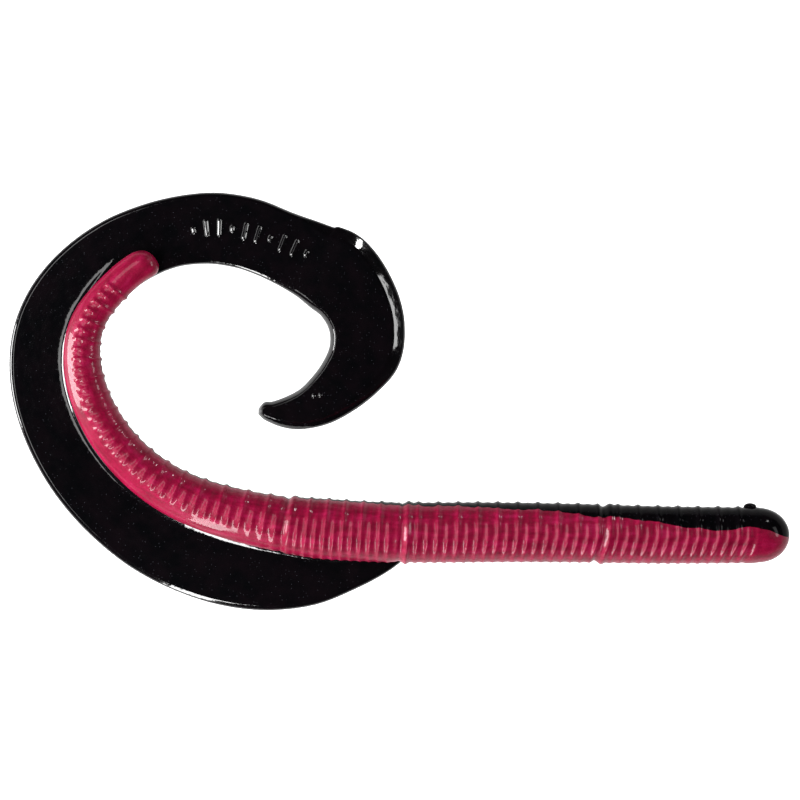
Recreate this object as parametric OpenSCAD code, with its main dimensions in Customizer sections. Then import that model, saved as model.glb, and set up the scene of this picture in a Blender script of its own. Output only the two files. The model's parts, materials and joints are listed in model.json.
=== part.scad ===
// Ribbon-tail soft plastic worm, poured in two colours: a crimson belly pour and a black
// back pour that also makes the ribbon. The body lies along -X from its nose and curls
// clockwise, seen from above, into the ribbon tail. The pours are divided at ring grooves into
// links, each turning on the one before it, so that the soft worm can bend.
// Every link is drawn from its front hinge, +X towards the tail, +Y to the outside of
// the curl and +Z up.

/* [Body] */
// Distance between neighbouring rings
ring_pitch = 2; // [1.8:0.1:2.6]
// Depth of the groove between two rings
ring_depth = 0.35; // [0.1:0.05:0.5]
// Length of the smooth rounded nose
nose_len = 6; // [4:0.5:7]
// Length of the smooth round cap that ends the body
cap_len = 4; // [3:0.5:5]
// Width of the vent nub on the head
nub_d = 2.5; // [2:0.1:3]
// How far the vent nub stands out of the head
nub_h = 0.9; // [0.5:0.1:1.2]

/* [Ribbon] */
// Thickness of the ribbon along the body
ribbon_t = 1.4; // [1.2:0.1:1.6]
// Thickness of the tail between the body and its notch
tail_t = 1.6; // [1.4:0.1:1.8]
// Thickness of the paddle that ends the tail
paddle_t = 2.6; // [2:0.1:2.8]
// How far the middle of the ribbon lies under the body's axis
ribbon_drop = 2.1; // [1.8:0.1:2.2]

/* [Joints] */
// Clearance between a ball and its socket
ball_gap = 0.25; // [0.2:0.05:0.4]
// Clearance between the two leaves of a lap
leaf_gap = 0.2; // [0.16:0.02:0.3]
// Half the gap between ribbon plates where the body arches
arch_gap = 0.45; // [0.4:0.05:0.6]
// Clearance round a flap joint's knuckle
knuckle_gap = 0.15; // [0.12:0.01:0.2]

/* [Hidden] */
// Links 0 to 14 are the body, and links 15 to 22 are the free tail.
LAST_BODY = 14;
LAST_TAIL = 22;
FIRST_RIBBON = 6;
LEN = [14, 12, 12, 12, 12, 12, 11, 11, 11, 11, 11, 12, 12, 12, 14,
       9.5, 9.5, 9.5, 9.5, 9.5, 9.5, 9.5, 9.5];
// Moulded turn at the start of each link, in degrees, clockwise being negative
TURN = [0, 0, 0, 0, 0, -1, -2, -4, -5, -8, -16, -20, -25, -35, -23,
        -26, -25, -12, -14, -33, -37, -36, -33];
// Downward tilt at the start of each link, which keeps the thinning body on the ground
DROOP = [0, 0, 0, 0, 0, 0, 1.4, 0, 1, 0, -0.5, 0, 1.5, 0, 1.8,
         1.2, 0, 0.8, 0, 3.3, 0, 4.2, 0];
// How far each lapped joint can open from its moulded turn; 0 where the joint isn't lapped
OPEN = [0, 0, 0, 0, 0, 0, 0, 8, 0, 17, 0, 29, 0, 36, 0,
        0, 29, 0, 26, 0, 36, 0, 33];
// Tilt of the seam between the colours on each body link, up on the inside of the curl
SEAM = [72, 64, 58, 48, 41, 35, 24, 16, 15, 16, 17, 18, 20, 22, 24];
// Radius of the body over its rings, by distance from the nose
RADIUS = [[0, 5.3], [12, 5.55], [40, 5.7], [62, 5.85], [85, 5.75], [96, 5.35],
          [110, 4.75], [125, 4.35], [145, 3.85], [160, 3.3], [176, 2.8]];
// Reach of the ribbon's outer edge from the body's axis, by distance from the nose
REACH = [[74, 5.9], [80, 9.5], [85, 12.5], [91, 15.2], [97, 16.9], [104, 17.6],
         [110, 17.5], [118, 16.7], [127, 15.4], [136, 14.6], [148, 13.8],
         [156, 13.1], [166, 11.4], [172, 10.1], [179, 8.3]];
// Half the width of the free tail, by distance from the nose
HALF = [[179, 6.7], [198, 6.9], [207.5, 7.5], [214, 8.2], [220, 7.6], [226.5, 7.2],
        [232, 6.7], [238, 5.5], [245.5, 4.1], [250, 3], [255, 1.5]];
// Sideways shift of the ribbon's middle where the body ends
ROOT_SHIFT = 1.6;
// Overlap of the leaves past a joint's middle line, and the spare angle behind them
LEAF_OVER = 4;
LEAF_SPARE = 2;
// Angle that a tail link keeps clear on the inside of a curl joint, so that the joint can close
CLOSE_ROOM = 6;
// Extra bend past the moulded turn that a socket's rim makes room for
RIM_BEND = 8;
RIM_BEND_MIN = 20;
RIM_ROOM = 0.9;
REACH_FAR = 60;
ROUND = 64;
ARC_STEPS = 10;

function name_of(stem, k) = str(stem, k < 10 ? "_0" : "_", k);

function start_of(i) = i == 0 ? 0 : start_of(i - 1) + LEN[i - 1];
function radius_at(s) = lookup(s, RADIUS);
function ball_r(i) = radius_at(start_of(i)) - ring_depth;
function rim_bend(i) = max(RIM_BEND_MIN, RIM_BEND - TURN[i]);
function rim_back(i) = ball_r(i) * tan(rim_bend(i) / 2) + RIM_ROOM;
function thickness(i) = i <= 16 ? ribbon_t : i <= 18 ? tail_t : paddle_t;
function shift_at(i) = i == 15 ? ROOT_SHIFT : 0;
function polar(r, a) = [r * cos(a), r * sin(a)];

// The rings between two places on a link, from a groove at x0 to a crest at x1
function rings(i, x0, x1) =
    let (count = round((x1 - x0) / ring_pitch - 0.5), step = (x1 - x0) / (count + 0.5))
    [for (k = [0:2 * count + 1])
        let (x = x0 + k * step / 2)
        [radius_at(start_of(i) + x) - (k % 2 == 0 ? ring_depth : 0), x]];

function ball_arc(i) = [for (k = [0:ARC_STEPS]) let (a = 90 * k / ARC_STEPS)
    [ball_r(i) * sin(a), -ball_r(i) * cos(a)]];

function nose_arc() = [for (k = [0:ARC_STEPS - 1]) let (a = 90 * k / ARC_STEPS)
    [(radius_at(nose_len) - ring_depth) * sin(a), nose_len * (1 - cos(a))]];

function cap_arc(i, x1) =
    [for (k = [0:ARC_STEPS]) let (a = 90 * k / ARC_STEPS)
        [radius_at(start_of(i) + x1 - cap_len) * cos(a), x1 - cap_len + cap_len * sin(a)]];

// The hollow that takes the next link's ball, from its rim to its floor
function socket_arc(i) =
    let (r = ball_r(i + 1) + ball_gap, rim = acos(rim_back(i + 1) / r))
    [for (k = [0:ARC_STEPS]) let (a = rim * (1 - k / ARC_STEPS))
        [r * sin(a), LEN[i] - r * cos(a)]];

function link_profile(i) =
    let (cap_end = LEN[LAST_BODY] - 3)
    i == 0 ? concat(nose_arc(), rings(i, nose_len, LEN[i] - rim_back(i + 1)), socket_arc(i))
    : i < LAST_BODY
    ? concat(ball_arc(i), rings(i, 0, LEN[i] - rim_back(i + 1)), socket_arc(i))
    : concat(ball_arc(i), rings(i, 0, cap_end - cap_len), cap_arc(i, cap_end));

// Places its children in a link's own frame
module at_link(i) {
    if (i == 0)
        rotate([0, 0, 180]) children();
    else
        at_link(i - 1)
            translate([LEN[i - 1], 0, i - 1 == LAST_BODY ? -ribbon_drop : 0])
                rotate([0, DROOP[i], TURN[i] / 2]) rotate(TURN[i] / 2) children();
}

module link_body(i) {
    rotate([0, 90, 0]) rotate_extrude($fn = ROUND) polygon(link_profile(i));
}

// Everything on the crimson side of a link's seam
module belly_side(i) {
    rotate([-SEAM[i], 0, 0]) translate([-REACH_FAR, -REACH_FAR, 0]) cube(2 * REACH_FAR);
}

// A strip along the middle line of the joint at a link's start, or at its end
module middle_line(turn, half_gap) {
    rotate(turn) translate([-half_gap, -REACH_FAR]) square([2 * half_gap, 2 * REACH_FAR]);
}

// The part of a plate that a neighbour's leaf slides over as the joint opens.
// toward is 1 at the start of a link and -1 at its end.
module lap_sector(i, half_turn, toward) {
    sweep = OPEN[i] + LEAF_OVER + LEAF_SPARE;
    first = half_turn + 30;
    polygon(concat([[0, 0]],
        [for (k = [0:4]) let (a = first - (first - half_turn + sweep) * k / 4)
            polar(REACH_FAR, 90 + toward * a)]));
}

// Clear space round a hinge, inside which the ball or the socket's rim moves
module relief(i) {
    r = radius_at(start_of(i));
    circle(OPEN[i] > 0 ? 1.2 * r + 0.5 : r + 0.4, $fn = ROUND);
}

// Plan of the ribbon that a body link carries on the outside of the curl
module ribbon_plan(i) {
    a0 = -TURN[i] / 2 + (OPEN[i] > 0 ? LEAF_OVER : 0);
    a1 = -TURN[i + 1] / 2 + (OPEN[i + 1] > 0 ? LEAF_OVER : 0);
    s = start_of(i);
    difference() {
        polygon(concat([[0, 0], polar(lookup(s, REACH), 90 + a0)],
            [for (k = [1:3]) [LEN[i] * k / 4, lookup(s + LEN[i] * k / 4, REACH)]],
            [[LEN[i], 0] + polar(lookup(s + LEN[i], REACH), 90 - a1), [LEN[i], 0]]));
        relief(i);
        if (OPEN[i] == 0) middle_line(-TURN[i] / 2, arch_gap);
        if (i < LAST_BODY) translate([LEN[i], 0]) {
            relief(i + 1);
            if (OPEN[i + 1] == 0) middle_line(TURN[i + 1] / 2, arch_gap);
        }
    }
    if (i == LAST_BODY) ribbon_inner_plan();
}

// The ribbon comes out from under the body on the inside of the curl as the body ends
module ribbon_inner_plan() {
    a1 = -TURN[LAST_BODY + 1] / 2;
    inner = lookup(start_of(LAST_BODY + 1), HALF) - ROOT_SHIFT;
    polygon([[4, 0], [4, -3.4], [9, -4.2],
        [LEN[LAST_BODY], 0] - polar(inner, 90 - a1), [LEN[LAST_BODY], 0]]);
}

// Full-thickness plate with a thin leaf at its lapped end, the front link's leaf on top
module lapped_plate(t, leaf_on_top) {
    leaf = (t - leaf_gap) / 2;
    translate([0, 0, -t / 2]) linear_extrude(t) children(0);
    translate([0, 0, leaf_on_top ? t / 2 - leaf : -t / 2]) linear_extrude(leaf) children(1);
}

module ribbon_plate(i) {
    translate([0, 0, -ribbon_drop]) difference() {
        lapped_plate(ribbon_t, OPEN[i] == 0) {
            difference() {
                ribbon_plan(i);
                if (OPEN[i] > 0) lap_sector(i, -TURN[i] / 2, 1);
                if (OPEN[i + 1] > 0)
                    translate([LEN[i], 0]) lap_sector(i + 1, -TURN[i + 1] / 2, -1);
            }
            ribbon_plan(i);
        }
        if (i == LAST_BODY) translate([LEN[i], 0, 0]) knuckle_room(i + 1);
    }
}

module belly(i) {
    color([0.60, 0.09, 0.22]) at_link(i) difference() {
        intersection() {
            link_body(i);
            belly_side(i);
        }
        if (i >= FIRST_RIBBON) ribbon_plate(i);
    }
}

module back(i) {
    color([0.04, 0.03, 0.05]) at_link(i) {
        difference() {
            link_body(i);
            belly_side(i);
        }
        if (i >= FIRST_RIBBON) ribbon_plate(i);
    }
}

// Width-wise cylinder along a flap joint, turned to its middle line
module across(i, half_turn, r, length) {
    rotate([0, 0, half_turn]) translate([0, shift_at(i), 0])
        rotate([90, 0, 0]) cylinder(r = r, h = length, center = true, $fn = ROUND);
}

module knuckle_room(i) {
    across(i, TURN[i] / 2, thickness(i) / 2 + knuckle_gap, REACH_FAR);
}

// The wedge on the inside of the curl that a tail link leaves free beside a curl joint.
// toward is 1 at the start of a link and -1 at its end.
module closing_wedge(i, toward) {
    polygon([[0, 0], for (a = [-30, CLOSE_ROOM - TURN[i] / 2]) polar(REACH_FAR, -90 + toward * a)]);
}

// Plan of a free tail link. A flap joint ends square on its middle line, and a curl
// joint ends in a round about the hinge.
module tail_plan(i) {
    s = start_of(i);
    w0 = lookup(s, HALF);
    w1 = lookup(s + LEN[i], HALF);
    curl_first = OPEN[i] > 0;
    a0 = curl_first ? 0 : -TURN[i] / 2;
    a1 = curl_first && i < LAST_TAIL ? -TURN[i + 1] / 2 : 0;
    mid = [for (k = [1:2]) [LEN[i] * k / 3, lookup(s + LEN[i] * k / 3, HALF)]];
    difference() {
        polygon(concat([polar(w0 + shift_at(i), 90 + a0)], mid,
            [[LEN[i], 0] + polar(w1, 90 - a1), [LEN[i], 0] - polar(w1, 90 - a1)],
            [[mid[1].x, -mid[1].y], [mid[0].x, -mid[0].y], polar(shift_at(i) - w0, 90 + a0)]));
        if (curl_first) closing_wedge(i, 1);
        else translate([LEN[i], 0]) closing_wedge(i + 1, -1);
    }
    if (curl_first) circle(w0, $fn = ROUND);
    if (!curl_first || i == LAST_TAIL) translate([LEN[i], 0]) circle(w1, $fn = ROUND);
}

// Space that the neighbour's round leaf turns in
module lap_round(i) {
    circle(lookup(start_of(i), HALF) + 0.3, $fn = ROUND);
}

module tail(i) {
    curl_first = OPEN[i] > 0;
    t = thickness(i);
    color([0.04, 0.03, 0.05]) at_link(i) {
        difference() {
            lapped_plate(t, !curl_first) {
                difference() {
                    tail_plan(i);
                    translate([curl_first ? 0 : LEN[i], 0]) lap_round(curl_first ? i : i + 1);
                }
                tail_plan(i);
            }
            if (curl_first && i < LAST_TAIL) translate([LEN[i], 0, 0]) knuckle_room(i + 1);
        }
        if (!curl_first)
            across(i, -TURN[i] / 2, t / 2, 2 * lookup(start_of(i), HALF) - 0.6);
    }
}

module vent_nub() {
    color([0.04, 0.03, 0.05]) at_link(0) translate([7.5, 0, 0]) rotate([90, 0, 0])
        difference() {
            cylinder(d = nub_d, h = radius_at(7.5) + nub_h, $fn = ROUND);
            translate([0, 0, -1]) cylinder(d = nub_d + 1, h = radius_at(7.5) + 0.8, $fn = ROUND);
        }
}

for (k = [1:15]) belly(k - 1);
for (k = [1:15]) back(k - 1);
for (k = [1:8]) tail(LAST_BODY + k);
vent_nub();
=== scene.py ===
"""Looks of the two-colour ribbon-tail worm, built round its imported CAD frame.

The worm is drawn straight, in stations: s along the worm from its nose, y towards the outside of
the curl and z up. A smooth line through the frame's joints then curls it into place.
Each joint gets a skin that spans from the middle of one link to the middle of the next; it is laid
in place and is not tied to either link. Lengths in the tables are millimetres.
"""

import json
import math

import bpy
import numpy as np
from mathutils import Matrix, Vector

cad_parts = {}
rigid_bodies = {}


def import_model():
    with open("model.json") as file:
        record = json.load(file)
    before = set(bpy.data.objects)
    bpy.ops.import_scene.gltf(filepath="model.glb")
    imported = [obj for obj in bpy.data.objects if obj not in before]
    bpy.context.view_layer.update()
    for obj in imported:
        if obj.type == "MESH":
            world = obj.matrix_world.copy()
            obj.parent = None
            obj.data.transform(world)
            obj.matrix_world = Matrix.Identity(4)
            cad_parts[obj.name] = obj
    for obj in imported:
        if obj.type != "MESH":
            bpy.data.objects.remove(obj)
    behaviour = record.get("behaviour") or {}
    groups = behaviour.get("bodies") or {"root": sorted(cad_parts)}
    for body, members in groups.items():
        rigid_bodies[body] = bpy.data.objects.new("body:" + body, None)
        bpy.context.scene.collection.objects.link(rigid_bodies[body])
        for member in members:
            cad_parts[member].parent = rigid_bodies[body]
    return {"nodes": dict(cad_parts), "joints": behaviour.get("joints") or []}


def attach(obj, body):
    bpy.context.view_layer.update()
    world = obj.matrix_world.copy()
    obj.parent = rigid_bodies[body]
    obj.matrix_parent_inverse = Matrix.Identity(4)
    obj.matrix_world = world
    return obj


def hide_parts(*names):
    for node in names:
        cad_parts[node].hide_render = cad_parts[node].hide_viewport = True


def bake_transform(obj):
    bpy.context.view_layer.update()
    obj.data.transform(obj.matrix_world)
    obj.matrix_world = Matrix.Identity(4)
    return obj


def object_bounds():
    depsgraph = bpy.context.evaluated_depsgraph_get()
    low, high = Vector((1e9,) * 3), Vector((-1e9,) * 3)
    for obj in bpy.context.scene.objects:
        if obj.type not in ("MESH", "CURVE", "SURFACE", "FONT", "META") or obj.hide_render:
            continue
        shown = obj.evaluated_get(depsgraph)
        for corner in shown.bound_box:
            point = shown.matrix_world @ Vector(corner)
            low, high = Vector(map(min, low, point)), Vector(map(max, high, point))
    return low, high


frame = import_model()
cad_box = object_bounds()

MM = 0.001

# Joints
LAST_BODY_JOINT = 14    # joints 1 to 14 bend the body, and the rest bend the free ribbon
RIBBON_DROP = 2.1       # the ribbon's middle lies this far under the body's axis
TIP_LENGTH = 9.5        # from the last joint to the tip
TIP_TURN = -33.0        # moulded turn at the last joint, in degrees
CAP_RIDES_TO = 176.5    # a skin that spans this station takes it as the start of its bend, which nothing then uses

# Body
BODY_END = 175.2
NOSE_LEN = 6.2
CAP_LEN = 3.4
RADIUS = [(0, 5.3), (14, 5.45), (44, 5.7), (66, 5.83), (80, 5.8), (90, 5.75), (96, 5.35),
          (112, 4.75), (125, 4.25), (152, 3.45), (160, 3.15), (176, 3.1)]
# Sideways shift of the body from the middle line, towards the outside of the curl
SHIFT = [(0, -0.05), (24, -0.1), (44, -0.5), (60, -0.6), (72, -0.4), (84, -0.25), (96, -0.05),
         (110, -0.05), (134, -0.4), (150, -0.25), (158, 0.0), (166, -0.75), (170, -1.2),
         (176, -2.3)]
# The body's outer flank swells as it runs into the ribbon
FLARE = [(0, 0), (84, 0), (104, 0.3), (125, 0.35), (158, 0.35), (170, 0.1), (176, 0)]
RING_HEIGHT = 0.30
RING_FIRST = 6.0
RING_LAST = 167.0
RING_WIDTH = 0.2        # half width of a ring's sharp crest, as a share of the gap between rings
RING_CREST = 0.65       # share of a ring's height in its sharp crest; the rest is a soft swell
ALTERNATE_LOSS = 0.7    # on the body's inner side every second ring is lower by this share
OUTER_LOSS = 0.45       # and on its outer side all rings are lower by this share
# Rings passed by each station, and how far the rings lean towards the tail on the outer side
RING_COUNT = [(6, 0), (72.5, 35), (94.5, 47.7), (130, 63.5), (167, 83)]
RING_SLANT = [(0, 2.3), (40, 1.6), (75, 0.3), (90, 0.0), (176, 0.0)]
HEAVY_RINGS = (34.0, 72.5, 94.5)
HEAVY_RISE = 0.9        # extra height of a heavy ring, and depth of the groove behind it,
HEAVY_GROOVE = 1.1      # as shares of a plain ring's height
# Angle of the seam between the colours above the body's inner side, and below its outer side
SEAM_INNER = [(0, 104), (1.5, 92), (4, 80), (7, 73), (14, 78), (22, 71), (29, 58), (34, 52),
              (39, 53), (45, 43), (52, 38), (58, 34), (68, 29), (73, 24), (84, 20), (94, 15),
              (120, 14), (150, 10), (166, 7), (176, 6)]
SEAM_OUTER = [(0, 60), (60, 40), (78, 24), (176, 20)]
SEAM_WAVER = ((1.6, 3.1, 0), (1.1, 1.27, 1), (0.8, 0.71, 2))     # degrees, wave length, start
NUB_AT = 7.5
NUB_RADIUS = 1.22
NUB_RISE = 0.75

# Ribbon: reach of its two edges from the body's axis, towards the outside and the inside
RIBBON_START = 73.0
WORM_END = 256.6
OUTER = [(73, 4.8), (75, 6.5), (78, 8.6), (82, 11.0), (88, 14.3), (94, 16.3), (106, 17.75),
         (112, 17.45), (118, 16.85), (124, 16.05), (136, 14.95), (148, 14.35), (154, 13.9),
         (166, 11.75), (172, 10.1), (178, 8.3), (184, 7.1), (190, 6.65), (196, 6.5), (202, 6.1),
         (206, 6.4), (209, 6.8), (212, 7.5), (216, 7.6), (220, 7.3), (226, 7.2), (232, 6.75),
         (236, 5.3), (240, 4.3), (246, 3.65), (251, 3.1), (254, 2.1), (256, 1.0), (256.6, 0.4)]
INNER = [(73, -1.5), (140, -1.0), (156, 0.3), (162, 2.3), (168, 3.6), (178, 5.5), (184, 6.65),
         (190, 7.25), (196, 7.4), (208, 8.2), (214, 8.65), (220, 8.1), (226, 7.4), (232, 6.95),
         (238, 6.6), (244, 5.6), (250, 3.6), (254, 2.2), (256, 1.6), (256.6, 0.7)]
THICKNESS = [(73, 1.4), (190, 1.5), (206, 1.6), (212, 2.3), (218, 2.6), (248, 2.6), (256, 2.2)]
BEVEL_WIDTH = [(73, 0.9), (204, 0.9), (210, 2.6), (232, 2.4), (246, 2.0), (256, 1.0)]
BEVEL_DEPTH = [(73, 0.3), (204, 0.3), (210, 0.62), (232, 0.52), (246, 0.44), (256, 0.42)]
NOTCH_AT = 209.3        # the outer edge steps out here, where the paddle starts
NOTCH_STEP = 0.4
FILLET_HEIGHT = 0.45    # the ribbon runs up into the body beside it
FILLET_REACH = 0.35
TIP_ROUNDING = 0.8      # the tip thins over this length
# Generic moulded marks on the tail: a row of bars with a dot at every third place, and two dots
MARKS_AT = 184.5
MARK_COUNT = 10
MARK_GAP = 2.5
MARK_SIDE = -0.2
MARK_HEIGHT = 0.3
BAR_HALF_LENGTH = 1.35
DOT_HALF_LENGTH = 0.35
TIP_DOTS = ((243.6, -1.9), (245.0, -2.3))
TIP_DOT_HEIGHT = 0.25

# Meshes
BODY_STEP = 0.24        # gap between stations
RIBBON_STEP = 0.2
SHORTEST = 4.5          # no skin is shorter than this
BLUNT_ENDS = ((0, 4.0), (BODY_END, 3.0), (WORM_END, 3.0))    # station, and reach of its crowding
# Places across the ribbon from an edge: in millimetres, and then in widths of the bevel
EDGE_STEPS = (0, 0.04, 0.13, 0.27, 0.45)
BEVEL_STEPS = (0.62, 0.85, 1.0, 1.15, 1.4)
RIBBON_MIDDLE = 56

# Studio, in metres
VIEW_CENTRE = (-0.0740, 0.0257)
VIEW_WIDTH = 0.152
LENS = 200.0
SENSOR = 36.0
FLOOR_SIZE = 8.0
FLOOR_DROP = 0.075     # room under the worm, so that no joint limit dips into the floor
# Name, place from the middle of the view, size, and power in watts
LIGHTS = [("left_light", (-0.9, 0.0, 0.18), (0.5, 0.3), 31),
          ("key_light", (-0.28, -0.55, 0.36), (0.09, 0.8), 13),
          ("top_light", (-0.38, 0.1, 0.6), (0.8, 0.25), 6),
          ("far_light", (0.5, 0.75, 0.32), (0.08, 0.12), 3.5),
          ("right_light", (0.85, 0.2, 0.43), (0.6, 0.2), 8)]
# Brightness of the sky by height, from its rim (0) to overhead (1)
SKY = [(0.0, (0.12, 0.12, 0.12)), (0.5, (0.015, 0.015, 0.015))]
FLOOR_GREY = 0.37
FLOOR_GLOW = 0.88

# Gloss
CRIMSON_SPECULAR = 0.06
CRIMSON_COAT = 0.13
CRIMSON_COAT_ROUGHNESS = 0.06
BODY_BLACK_SPECULAR = 0.018
RIBBON_BLACK_SPECULAR = 0.24


def table(points, s):
    """A value by station, in straight stretches between the points."""
    where, value = zip(*points)
    return np.interp(s, where, value)


def flowing(points, s):
    """A value by station, on a smooth curve through the points."""
    where, value = (np.array(column, float) for column in zip(*points))
    slope = np.gradient(value, where)
    i = np.clip(np.searchsorted(where, s) - 1, 0, len(where) - 2)
    gap = where[i + 1] - where[i]
    t = np.clip((s - where[i]) / gap, 0, 1)
    rise = value[i] + (value[i + 1] - value[i]) * smooth_step(t, 0, 1)
    return rise + gap * t * (1 - t) * (slope[i] * (1 - t) - slope[i + 1] * t)


def smooth_step(x, low, high):
    """0 below low, 1 above high, and a smooth climb between them."""
    t = np.clip((x - low) / (high - low), 0, 1)
    return t * t * (3 - 2 * t)


def unit(v):
    """Vectors with their length made 1."""
    return v / np.linalg.norm(v, axis=-1, keepdims=True)


# ---------------------------------------------------------------- the worm's middle line

def chain_of(joints):
    """The joints in order from the head, each link being the next one's parent."""
    by_parent = {j["parent"]: j for j in joints}
    first = next(j for j in joints if j["parent"] not in {k["child"] for k in joints})
    found = [first]
    while found[-1]["child"] in by_parent:
        found.append(by_parent[found[-1]["child"]])
    return found


class Spline:
    """A curve through points at given stations, as smooth as a bent rod."""

    def __init__(self, at, points):
        self.at, self.points = np.array(at, float), np.array(points, float)
        n, gap = len(at), np.diff(at)
        rows, right = np.eye(n), np.zeros((n, 3))
        for i in range(1, n - 1):
            rows[i, i - 1:i + 2] = gap[i - 1], 2 * (gap[i - 1] + gap[i]), gap[i]
            right[i] = 6 * ((self.points[i + 1] - self.points[i]) / gap[i]
                            - (self.points[i] - self.points[i - 1]) / gap[i - 1])
        self.bend = np.linalg.solve(rows, right)

    def __call__(self, s):
        s = np.asarray(s, float)
        i = np.clip(np.searchsorted(self.at, s) - 1, 0, len(self.at) - 2)
        gap = self.at[i + 1] - self.at[i]
        b = (np.clip(s, None, self.at[-1] + 5) - self.at[i]) / gap
        a = 1 - b
        a, b, gap = a[..., None], b[..., None], gap[..., None]
        return (a * self.points[i] + b * self.points[i + 1]
                + ((a ** 3 - a) * self.bend[i] + (b ** 3 - b) * self.bend[i + 1]) * gap ** 2 / 6)


def turned(v, axis, degrees):
    """v turned about a unit axis."""
    c, s = math.cos(math.radians(degrees)), math.sin(math.radians(degrees))
    return v * c + np.cross(axis, v) * s + axis * (axis @ v) * (1 - c)


CHAIN = chain_of(frame["joints"])
BODIES = [CHAIN[0]["parent"]] + [j["child"] for j in CHAIN]


def lay_middle_line():
    """The stations of the joints, the line along the body's axis, and the way up along it."""
    places = np.array([j["pos_m"] for j in CHAIN]) / MM
    upright = [(k, np.array(j["axis"])) for k, j in enumerate(CHAIN) if abs(j["axis"][2]) > 0.7]
    ups = unit(np.stack([np.interp(range(len(CHAIN)), [k for k, _ in upright],
                                   [u[c] for _, u in upright]) for c in range(3)], 1))
    places[LAST_BODY_JOINT:] += RIBBON_DROP * ups[LAST_BODY_JOINT:]
    last = turned(unit(places[-1] - places[-2]), ups[-1], TIP_TURN)
    points = np.vstack([np.zeros(3), places, places[-1] + TIP_LENGTH * last])
    stations = np.concatenate([[0], np.cumsum(np.linalg.norm(np.diff(points, axis=0), axis=1))])
    ups = np.vstack([ups[0], ups, ups[-1]])
    return stations, Spline(stations, points), Spline(stations, ups)


STATIONS, AXIS_LINE, UP_LINE = lay_middle_line()


def curled(p):
    """Straight places (s, y, z) in millimetres, moved onto the curled worm, in metres."""
    s = p[..., 0]
    ahead = unit(AXIS_LINE(s + 0.05) - AXIS_LINE(s - 0.05))
    side = unit(np.cross(UP_LINE(s), ahead))
    up = np.cross(ahead, side)
    return (AXIS_LINE(s) + p[..., 1:2] * side + p[..., 2:3] * up) * MM


# ---------------------------------------------------------------- surfaces of the straight worm

def ring_wave(s, across):
    """Height of the moulded rings. across is the cosine of the angle from the outer side."""
    slant = table(RING_SLANT, s) * np.clip(across, 0, 1) ** 1.3
    turn = table(RING_COUNT, s - slant)
    off = np.abs(turn - np.round(turn))
    crest = np.exp(-(off / RING_WIDTH) ** 2)
    swell = 0.5 + 0.5 * np.cos(2 * math.pi * turn)
    every_second = np.round(turn) % 2
    strength = 1 - ALTERNATE_LOSS * every_second * smooth_step(-across, -0.1, 0.5)
    strength = strength * (1 - OUTER_LOSS * smooth_step(across, 0.6, 1))
    wave = (RING_CREST * crest + (1 - RING_CREST) * swell) * strength
    for at in HEAVY_RINGS:
        past = s - slant - at
        wave = wave + HEAVY_RISE * np.exp(-(past / 0.55) ** 2)
        wave = wave - HEAVY_GROOVE * np.exp(-((past - 1.5) / 0.6) ** 2)
    along = smooth_step(s, RING_FIRST - 0.6, RING_FIRST + 1.5)
    along = along * (1 - smooth_step(s, RING_LAST - 1.2, RING_LAST))
    # Beside the ribbon the body's outer flank has no rings
    flank = smooth_step(s, 84, 106) * smooth_step(across, 0.25, 0.62)
    return RING_HEIGHT * wave * along * (1 - flank)


def body_radius(s, angle):
    """Radius of the body at a station and an angle from its outer side towards the top."""
    r = flowing(RADIUS, s) - 0.4 * RING_HEIGHT + ring_wave(s, np.cos(angle))
    outward = np.clip((np.cos(angle) - 0.6) / 0.33, 0, 1)
    r = r + table(FLARE, s) * outward ** 1.5
    nose = np.clip(1 - s / NOSE_LEN, 0, 1)
    cap = np.clip((s - BODY_END + CAP_LEN) / CAP_LEN, 0, 1)
    shape = np.sqrt(1 - nose ** 2.15) * (1 - cap ** 2.4) ** 0.4
    return np.maximum(r * shape, 0.02)


def half_skin(crimson, count):
    """A function that gives one colour's cross-sections: an arc, then a point on the axis."""
    def sections(s):
        waver = sum(size * np.sin(s / length + start) for size, length, start in SEAM_WAVER)
        inner = np.radians(180 - table(SEAM_INNER, s) + waver)
        outer = np.radians(-table(SEAM_OUTER, s))
        first, last = (outer, inner) if crimson else (inner, outer + 2 * math.pi)
        angle = first[:, None] + (last - first)[:, None] * np.linspace(0, 1, count)
        stations = np.repeat(s[:, None], count, 1)
        r = body_radius(stations, angle)
        shift = flowing(SHIFT, s)
        arc = np.stack([stations, shift[:, None] + r * np.cos(angle), r * np.sin(angle)], -1)
        middle = np.stack([s, shift, 0 * s], -1)[:, None]
        return np.concatenate([arc, middle], 1)
    return sections


def raised_marks(s, y):
    """Generic moulded marks: a row of small bars and dots, and two dots by the tip."""
    height = 0 * s
    for k in range(MARK_COUNT):
        half = BAR_HALF_LENGTH if k % 3 else DOT_HALF_LENGTH
        along = s - MARKS_AT - MARK_GAP * k
        across = np.maximum(np.abs(y - MARK_SIDE) - half, 0)
        height = height + MARK_HEIGHT * (1 - smooth_step(np.hypot(along, across), 0.1, 0.4))
    for at, side in TIP_DOTS:
        away = np.hypot(s - at, y - side)
        height = height + TIP_DOT_HEIGHT * (1 - smooth_step(away, 0.1, 0.5))
    return height


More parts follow.
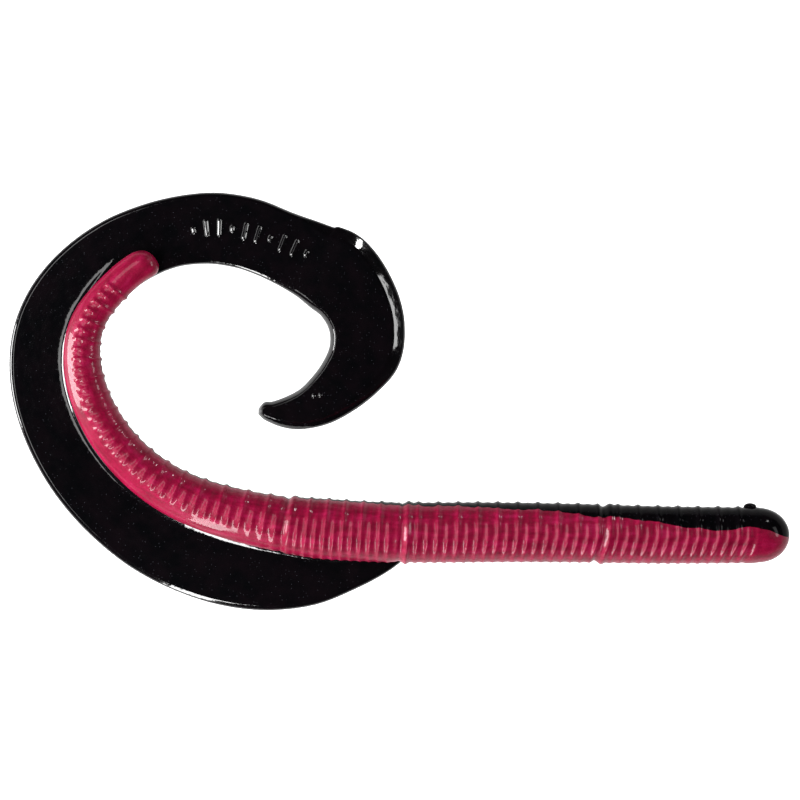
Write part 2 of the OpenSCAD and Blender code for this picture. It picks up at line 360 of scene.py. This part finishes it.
def ribbon_widths(s):
    """Places across the ribbon, from its outer edge to its inner edge, close together at both."""
    y_in, y_out = -flowing(INNER, s), flowing(OUTER, s)
    notch = smooth_step(s, NOTCH_AT - 0.3, NOTCH_AT + 0.3) - smooth_step(s, NOTCH_AT + 3, NOTCH_AT + 9)
    y_out = y_out + NOTCH_STEP * notch
    fit = np.clip((y_out - y_in) / 10, 0, 1)[:, None]
    bevel = table(BEVEL_WIDTH, s)[:, None]
    edge = np.array(EDGE_STEPS)[None, :]
    outer = np.concatenate([edge + 0 * bevel, bevel * np.array(BEVEL_STEPS)], 1) * fit
    inner = (edge + 0 * bevel) * fit
    left, right = y_out[:, None] - outer, y_in[:, None] + inner[:, ::-1]
    share = np.linspace(0, 1, RIBBON_MIDDLE + 2)[1:-1]
    middle = left[:, -1:] + (right[:, :1] - left[:, -1:]) * share
    return np.concatenate([left, middle, right], 1), y_in[:, None], y_out[:, None]


def ribbon_sections(s):
    """Cross-sections of the ribbon: over the top from its outer edge, and back below."""
    y, y_in, y_out = ribbon_widths(s)
    stations = np.repeat(s[:, None], y.shape[1], 1)
    t = table(THICKNESS, s)[:, None]
    from_out, from_in = y_out - y, y - y_in
    slope = np.clip(1 - from_out / table(BEVEL_WIDTH, s)[:, None], 0, 1)
    inner_slope = np.clip(1 - from_in / 1.0, 0, 1) * smooth_step(stations, 190, 222)
    top = t / 2 - t * table(BEVEL_DEPTH, s)[:, None] * slope - 0.35 * t * inner_slope
    end = np.clip((WORM_END - stations) / TIP_ROUNDING, 0, 1)
    edge = np.clip(np.minimum(from_out, from_in) / (0.32 * t), 0, 1)
    round_off = np.sqrt(1 - (1 - edge) ** 2) * np.sqrt(1 - 0.9 * (1 - end) ** 2)
    beside = np.clip(y - 0.93 * table(RADIUS, stations) - table(FLARE, stations), 0, None)
    fillet = FILLET_HEIGHT * np.exp(-beside / FILLET_REACH) * smooth_step(stations, 76, 90)
    fillet = fillet * (1 - smooth_step(stations, 160, 172)) * (y > 0)
    middle = -0.25 * t
    over = middle + (top + fillet + raised_marks(stations, y) - middle) * round_off
    under = middle + (-t / 2 - middle) * round_off
    top_points = np.stack([stations, y, over - RIBBON_DROP], -1)
    low_points = np.stack([stations, y, under - RIBBON_DROP], -1)[:, -2:0:-1]
    return np.concatenate([top_points, low_points], 1)


# ---------------------------------------------------------------- meshes

def crowded(s):
    """Stations near a blunt end, drawn closer together towards it."""
    for end, reach in BLUNT_ENDS:
        away = np.abs(s - end) / reach
        s = np.where(away < 1, end + (s - end) * away ** 0.7, s)
    return s


def stations_between(low, high, step):
    """Stations from low to high, with one spare station beyond each end."""
    count = max(2, round((high - low) / step))
    return crowded(low + (high - low) / count * np.arange(-1, count + 2))


def skin_normals(grid, whole):
    """Outward normals of a grid of places, from each place's neighbours."""
    along = np.gradient(grid, axis=0)
    across = (np.roll(grid, -1, 1) - np.roll(grid, 1, 1)) if whole else np.gradient(grid, axis=1)
    return unit(np.cross(across, along) + 1e-18)


def closed_faces(rows, columns):
    """Faces of a tube of cross-sections, closed by a fan of triangles at each end."""
    index = np.arange(rows * columns).reshape(rows, columns)
    beside = np.roll(index, -1, 1)
    quads = np.stack([index[:-1], beside[:-1], beside[1:], index[1:]], -1)
    first, last = rows * columns, rows * columns + 1
    head = [(beside[0, j], index[0, j], first) for j in range(columns)]
    tail = [(index[-1, j], beside[-1, j], last) for j in range(columns)]
    return quads.reshape(-1, 4).tolist() + head + tail


def straight_skin(name, straight, material):
    """A closed mesh of the worm laid straight, which keeps its stations for the materials."""
    mesh = bpy.data.meshes.new(name)
    flat = np.vstack([straight.reshape(-1, 3), straight[0].mean(0), straight[-1].mean(0)])
    faces = closed_faces(*straight.shape[:2])
    mesh.from_pydata((flat * MM).tolist(), [], faces)
    mesh.polygons.foreach_set("use_smooth", [True] * len(faces))
    mark = mesh.attributes.new("station", "FLOAT_VECTOR", "POINT")
    mark.data.foreach_set("vector", flat.astype(np.float32).ravel())
    mesh.materials.append(material)
    piece = bpy.data.objects.new(name, mesh)
    bpy.context.scene.collection.objects.link(piece)
    return piece


def curl_skin(piece, straight, shown_columns):
    """Moves a straight skin onto the curled worm, with normals that run on across its cuts.

    straight has its spare cross-section at each end, and shown_columns of a cross-section's
    points are the visible skin.
    """
    whole = shown_columns == straight.shape[1]
    grid = curled(straight)
    skin = skin_normals(grid[:, :shown_columns], whole)[1:-1]
    grid = grid[1:-1]
    rows, columns = grid.shape[:2]
    places = np.vstack([grid.reshape(-1, 3), grid[0].mean(0), grid[-1].mean(0)])
    mesh = piece.data
    mesh.vertices.foreach_set("co", places.ravel())
    mesh.update()
    normals = np.zeros((rows, columns, 3))
    normals[:, :shown_columns] = skin
    normals = normals.reshape(-1, 3)
    last_shown = shown_columns if whole else shown_columns - 1
    wanted = []
    for face in mesh.polygons:
        on_skin = face.index < (rows - 1) * columns and face.index % columns < last_shown
        wanted += [normals[v] if on_skin else face.normal for v in face.vertices]
    mesh.normals_split_custom_set([tuple(n) for n in wanted])


def spans(low, high):
    """Stretches of the worm between the middles of its links: (number, from, to, bodies)."""
    middles = (STATIONS[:-1] + STATIONS[1:]) / 2
    cuts = np.concatenate([[0], middles, [WORM_END]])
    last = len(BODIES)
    found = []
    for k in range(last + 1):
        start, end = max(cuts[k], low), min(cuts[k + 1], high)
        if 0 < high - end < SHORTEST:
            end = high
        if end - start >= SHORTEST and (not found or found[-1][2] < end):
            bodies = BODIES[:1] if k == 0 else BODIES[-1:] if k == last else BODIES[k - 1:k + 1]
            found.append((k, start, end, bodies, (cuts[k], cuts[min(k + 1, last)])))
    return found


def lay_skin(stem, sections, shown_columns, reach, material):
    """One colour's skins along the worm: a skin over one link rides with it, and a skin over two links is
    laid in place unattached.

    sections gives the cross-sections at a list of stations. shown_columns of each section's
    points are the visible skin, and 0 means all of them. reach is (from, to, step).
    """
    low, high, step = reach
    for number, start, end, bodies, (bend_from, bend_to) in spans(low, high):
        straight = sections(stations_between(start, end, step))
        shown = shown_columns or straight.shape[1]
        piece = straight_skin(f"{stem}_{number + 1:02d}", straight[1:-1], material)
        if len(bodies) == 1:
            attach(piece, bodies[0])
        else:
            if bend_from < CAP_RIDES_TO < bend_to:
                bend_from = CAP_RIDES_TO
            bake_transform(piece)
        curl_skin(piece, straight, shown)
        stands_for(stem, number)


def stands_for(stem, number):
    """Hides the CAD node that a skin stands in for."""
    if stem == "ribbon_skin":
        node = f"tail_{number - LAST_BODY_JOINT:02d}"
    else:
        node = f"{stem.split('_')[0]}_{number + 1:02d}"
    if node in frame["nodes"]:
        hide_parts(node)


# ---------------------------------------------------------------- materials

def new_material(name):
    """A new material, with its nodes, its links and its main shader."""
    material = bpy.data.materials.new(name)
    material.use_nodes = True
    nodes = material.node_tree.nodes
    return material, nodes, material.node_tree.links, nodes["Principled BSDF"]


def noise(nodes, links, scale, detail, stretch=(1, 1, 1)):
    """Noise laid out on the worm's stations, so that it doesn't slide when the worm bends."""
    place = nodes.new("ShaderNodeAttribute")
    place.attribute_name = "station"
    mapping = nodes.new("ShaderNodeMapping")
    mapping.inputs["Scale"].default_value = stretch
    made = nodes.new("ShaderNodeTexNoise")
    made.inputs["Scale"].default_value = scale
    made.inputs["Detail"].default_value = detail
    links.new(place.outputs["Vector"], mapping.inputs["Vector"])
    links.new(mapping.outputs["Vector"], made.inputs["Vector"])
    return made.outputs["Fac"]


def specks(nodes, links, scale):
    """Distance to the nearest of many scattered points, laid out on the worm's stations."""
    place = nodes.new("ShaderNodeAttribute")
    place.attribute_name = "station"
    made = nodes.new("ShaderNodeTexVoronoi")
    made.inputs["Scale"].default_value = scale
    links.new(place.outputs["Vector"], made.inputs["Vector"])
    return made.outputs["Distance"]


def ramp(nodes, links, source, stops):
    """A colour ramp over a source value."""
    made = nodes.new("ShaderNodeValToRGB")
    bar = made.color_ramp
    for k, (at, colour) in enumerate(stops):
        stop = bar.elements[k] if k < 2 else bar.elements.new(at)
        stop.position = at
        stop.color = (*colour, 1)
    links.new(source, made.inputs["Fac"])
    return made.outputs["Color"]


def mixed(nodes, links, kind, share, a, b):
    """Two colours mixed; share and each colour is a socket or a value."""
    made = nodes.new("ShaderNodeMix")
    made.data_type = "RGBA"
    made.blend_type = kind
    for socket, value in ((0, share), (6, a), (7, b)):
        if isinstance(value, bpy.types.NodeSocket):
            links.new(value, made.inputs[socket])
        else:
            made.inputs[socket].default_value = value
    return made.outputs[2]


def bump(nodes, links, height, distance, shader):
    """Fine relief on a shader, from a height."""
    made = nodes.new("ShaderNodeBump")
    made.inputs["Distance"].default_value = distance
    links.new(height, made.inputs["Height"])
    links.new(made.outputs["Normal"], shader.inputs["Normal"])


def crimson_material():
    """Pearly crimson plastisol: fine streaks of pigment along the worm under a clear gloss."""
    material, nodes, links, shader = new_material("crimson_plastisol")
    streaks = noise(nodes, links, 0.9, 6, (0.25, 1, 1))
    base = ramp(nodes, links, streaks, [(0.3, (0.072, 0.0003, 0.008)), (0.52, (0.108, 0.0005, 0.013)),
                                        (0.75, (0.150, 0.003, 0.026))])
    flakes = noise(nodes, links, 9.0, 2)
    fleck = ramp(nodes, links, flakes, [(0.45, (0.92, 0.9, 0.92)), (0.72, (1.25, 1.3, 1.3))])
    links.new(mixed(nodes, links, "MULTIPLY", 1, base, fleck), shader.inputs["Base Color"])
    links.new(ramp(nodes, links, noise(nodes, links, 1.7, 4),
                   [(0.3, (0.36,) * 3), (0.7, (0.5,) * 3)]), shader.inputs["Roughness"])
    shader.inputs["Specular IOR Level"].default_value = CRIMSON_SPECULAR
    shader.inputs["Coat Weight"].default_value = CRIMSON_COAT
    shader.inputs["Coat Roughness"].default_value = CRIMSON_COAT_ROUGHNESS
    bump(nodes, links, noise(nodes, links, 2.5, 5), 0.00006, shader)
    return material


def black_material(name, specular):
    """Glossy black plastisol with a faint purple cast and tiny pale specks."""
    material, nodes, links, shader = new_material(name)
    cloud = noise(nodes, links, 0.35, 5)
    base = ramp(nodes, links, cloud, [(0.35, (0.0007, 0.0007, 0.0009)), (0.7, (0.0016, 0.0010, 0.0014))])
    dust = ramp(nodes, links, specks(nodes, links, 1.5), [(0.06, (0.012, 0.012, 0.015)), (0.14, (0, 0, 0))])
    links.new(mixed(nodes, links, "ADD", 1, base, dust), shader.inputs["Base Color"])
    links.new(ramp(nodes, links, noise(nodes, links, 1.1, 4),
                   [(0.3, (0.05,) * 3), (0.7, (0.12,) * 3)]), shader.inputs["Roughness"])
    shader.inputs["Specular IOR Level"].default_value = specular
    bump(nodes, links, noise(nodes, links, 0.3, 3), 0.0001, shader)
    return material


def floor_material():
    """A plain pale floor that glows a little, so that it is as bright as the studio's paper."""
    material, _, _, shader = new_material("pale_floor")
    shader.inputs["Base Color"].default_value = (FLOOR_GREY, FLOOR_GREY, FLOOR_GREY, 1)
    shader.inputs["Roughness"].default_value = 0.9
    shader.inputs["Emission Color"].default_value = (1, 1, 1, 1)
    shader.inputs["Emission Strength"].default_value = FLOOR_GLOW
    return material


# ---------------------------------------------------------------- studio

def area_light(name, place, aim, size, power):
    """A large soft light at a place, pointing at another."""
    light = bpy.data.lights.new(name, "AREA")
    light.shape, light.size, light.size_y = "RECTANGLE", size[0], size[1]
    light.energy = power
    holder = bpy.data.objects.new(name, light)
    holder.location = place
    holder.rotation_euler = (Vector(aim) - Vector(place)).to_track_quat("-Z", "Y").to_euler()
    bpy.context.scene.collection.objects.link(holder)


def lay_floor():
    low = cad_box[0][2] - FLOOR_DROP
    bpy.ops.mesh.primitive_plane_add(size=FLOOR_SIZE, location=(VIEW_CENTRE[0], VIEW_CENTRE[1], low))
    floor = bpy.context.active_object
    floor.name = "floor"
    floor.data.materials.append(floor_material())


def hang_sky():
    """A sky that is pale at its rim and dark overhead."""
    world = bpy.data.worlds.new("studio")
    bpy.context.scene.world = world
    world.use_nodes = True
    nodes, links = world.node_tree.nodes, world.node_tree.links
    place = nodes.new("ShaderNodeTexCoord")
    split = nodes.new("ShaderNodeSeparateXYZ")
    links.new(place.outputs["Generated"], split.inputs["Vector"])
    sky = ramp(nodes, links, split.outputs["Z"], SKY)
    links.new(sky, nodes["Background"].inputs["Color"])


def place_camera():
    """A camera that looks straight down at the worm from above."""
    camera = bpy.data.objects.new("camera", bpy.data.cameras.new("camera"))
    camera.data.lens = LENS
    camera.data.sensor_width = SENSOR
    camera.location = (*VIEW_CENTRE, VIEW_WIDTH * LENS / SENSOR)
    camera.rotation_euler = (0, 0, 0)
    camera.data.clip_start, camera.data.clip_end = 0.05, 20
    bpy.context.scene.collection.objects.link(camera)
    bpy.context.scene.camera = camera


def studio():
    """Floor, lights, sky and camera."""
    lay_floor()
    aim = (*VIEW_CENTRE, 0)
    for name, (x, y, z), size, power in LIGHTS:
        area_light(name, (aim[0] + x, aim[1] + y, z), aim, size, power)
    hang_sky()
    place_camera()
    bpy.context.scene.view_settings.view_transform = "Standard"


# ---------------------------------------------------------------- the vent nub

def vent_nub(material):
    """The pip left by the mould's vent, on the inner side of the head: a low round button."""
    turn = np.linspace(0, 2 * math.pi, 32, endpoint=False)
    rise = np.linspace(0, math.pi / 2, 12)
    radius = np.concatenate([[1.5, 1.4], NUB_RADIUS * np.cos(rise) + 0.02])
    height = np.concatenate([[-0.8, -0.1], 0.1 + NUB_RISE * np.sin(rise)])
    out = -(body_radius(np.array(NUB_AT), math.pi) + height)
    s = NUB_AT + radius[:, None] * np.cos(turn)
    z = radius[:, None] * np.sin(turn)
    y = out[:, None] + 0 * z
    straight = np.stack([s, y, z], -1)
    piece = straight_skin("vent_pip", straight, material)
    places = curled(straight)
    places = np.vstack([places.reshape(-1, 3), places[0].mean(0), places[-1].mean(0)])
    piece.data.vertices.foreach_set("co", places.ravel())
    piece.data.update()
    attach(piece, BODIES[0])
    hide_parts("vent_nub")


def main():
    crimson = crimson_material()
    black = black_material("black_plastisol", BODY_BLACK_SPECULAR)
    flat_black = black_material("black_plastisol_flat", RIBBON_BLACK_SPECULAR)
    lay_skin("belly_skin", half_skin(True, 56), 56, (0, BODY_END, BODY_STEP), crimson)
    lay_skin("back_skin", half_skin(False, 60), 60, (0, BODY_END, BODY_STEP), black)
    lay_skin("ribbon_skin", ribbon_sections, 0, (RIBBON_START, WORM_END, RIBBON_STEP),
             flat_black)
    vent_nub(black)
    studio()


main()
